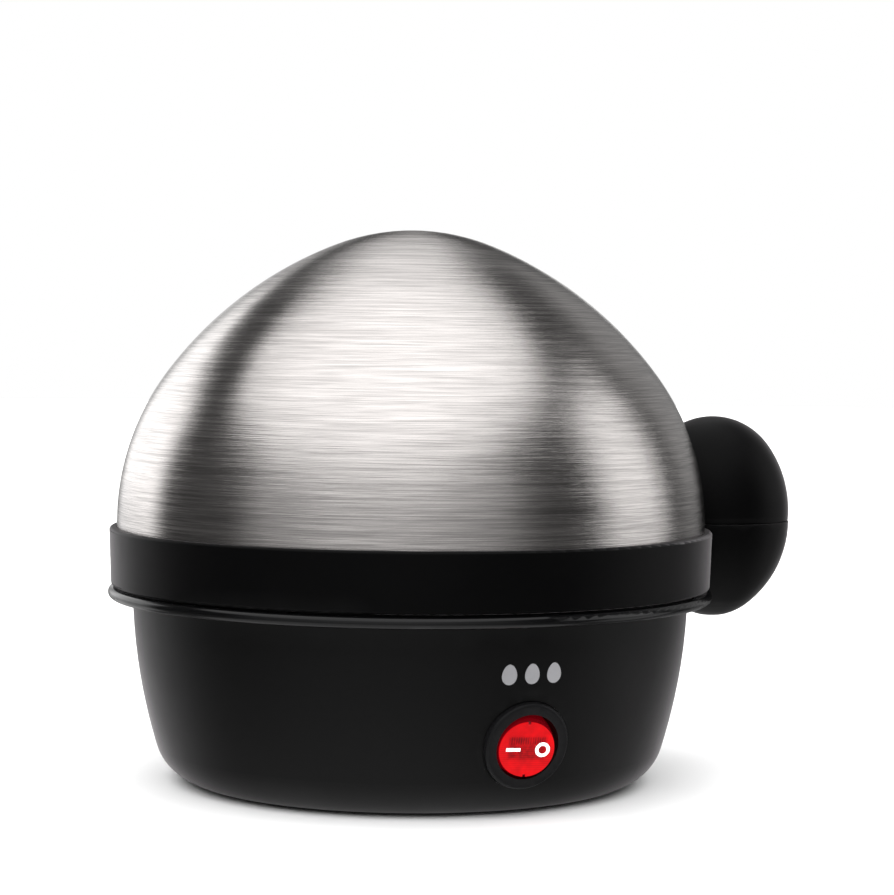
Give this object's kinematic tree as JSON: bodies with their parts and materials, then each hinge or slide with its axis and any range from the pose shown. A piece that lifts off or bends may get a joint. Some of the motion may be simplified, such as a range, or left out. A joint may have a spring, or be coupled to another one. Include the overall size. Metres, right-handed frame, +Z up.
{
  "type": "egg cooker",
  "caption": "Electric egg cooker: brushed steel dome lid with an egg-shaped side handle, lift-out egg tray, black coated water bowl and a black base with a rocker switch.",
  "frame": {"origin": "on the dome axis at table level, where the foot ring stands", "axes": "+Z up, -Y towards the switch, +X towards the egg-shaped handle, +Y towards the cord inlet"},
  "size_m": [0.2007, 0.1656, 0.1502],
  "materials": {
    "brushed_dome_steel": "brushed round the dome, satin",
    "coated_bowl_steel": "black coating, gloss",
    "black_plastic": "satin moulded",
    "tray_plastic": "satin moulded",
    "screw_steel": "zinc plated",
    "silicone": "matte",
    "cast_aluminium": "as cast",
    "element_sheath": "heat stained",
    "plated_steel": "zinc plated",
    "cream_plastic": "matte",
    "glass_sleeve": "woven glass sleeve",
    "black_rubber": "matte",
    "plate_aluminium": "satin",
    "switch_plastic": "semi-gloss",
    "contact_brass": "satin",
    "lamp_glass": "clear",
    "red_rocker": "translucent, gloss",
    "white_print": "matte",
    "brown_insulation": "satin",
    "black_insulation": "satin",
    "white_insulation": "satin",
    "blue_insulation": "satin",
    "green_insulation": "satin"
  },
  "bodies": {
    "base": {"heating_bowl": "coated_bowl_steel", "bowl_seal": "silicone", "heat_plate": "cast_aluminium", "heating_element": "element_sheath", "element_terminals": "plated_steel", "bowl_brackets": "plated_steel", "bracket_screws": "screw_steel", "thermostat": "cream_plastic", "thermostat_bracket": "plated_steel", "thermostat_screws": "screw_steel", "thermal_fuse": "glass_sleeve", "fuse_clip": "plated_steel", "base_housing": "black_plastic", "bottom_cover": "black_plastic", "cover_screws": "screw_steel", "foot_ring": "black_rubber", "rating_plate": "plate_aluminium", "switch_body": "switch_plastic", "switch_base": "switch_plastic", "switch_terminals": "contact_brass", "neon_lamp": "lamp_glass", "lamp_resistor": "cream_plastic", "cord_gland": "black_rubber", "cord_clamp": "black_plastic", "clamp_screws": "screw_steel", "terminal_block": "cream_plastic", "block_screws": "contact_brass", "live_wire": "brown_insulation", "switched_wire": "black_insulation", "fuse_wire": "white_insulation", "element_wire": "white_insulation", "neutral_wire": "blue_insulation", "lamp_wire": "blue_insulation", "earth_wire": "green_insulation", "wire_connectors": "cream_plastic"},
    "lid": {"lid_dome": "brushed_dome_steel", "lid_rim": "black_plastic", "rim_screws": "screw_steel", "handle_cap": "black_plastic", "handle_screw": "screw_steel"},
    "tray": {"egg_tray": "tray_plastic", "tray_handle": "tray_plastic"},
    "rocker": {"switch_rocker": "red_rocker", "rocker_marks": "white_print", "contact_plunger": "cream_plastic", "plunger_spring": "plated_steel"},
    "contact": {"rocking_contact": "contact_brass"}
  },
  "joints": [
    {"name": "lid_lift", "type": "slide", "parent": "base", "child": "lid", "axis": [0, 0, 1], "range_m": [0, 0.12]},
    {"name": "tray_lift", "type": "slide", "parent": "base", "child": "tray", "axis": [0, 0, 1], "range_m": [0, 0.03]},
    {"name": "rocker_tilt", "type": "hinge", "parent": "base", "child": "rocker", "pos_m": [0, -0.06799, 0.01992], "axis": [0, -0.225, 0.9744], "range_deg": [0, 16]},
    {"name": "contact_tilt", "type": "hinge", "parent": "base", "child": "contact", "pos_m": [0, -0.06078, 0.02159], "axis": [0, -0.225, 0.9744], "range_deg": [-14, 0]}
  ],
  "couplings": [
    {"joint": "contact_tilt", "follows": "rocker_tilt", "ratio": -0.875}
  ]
}
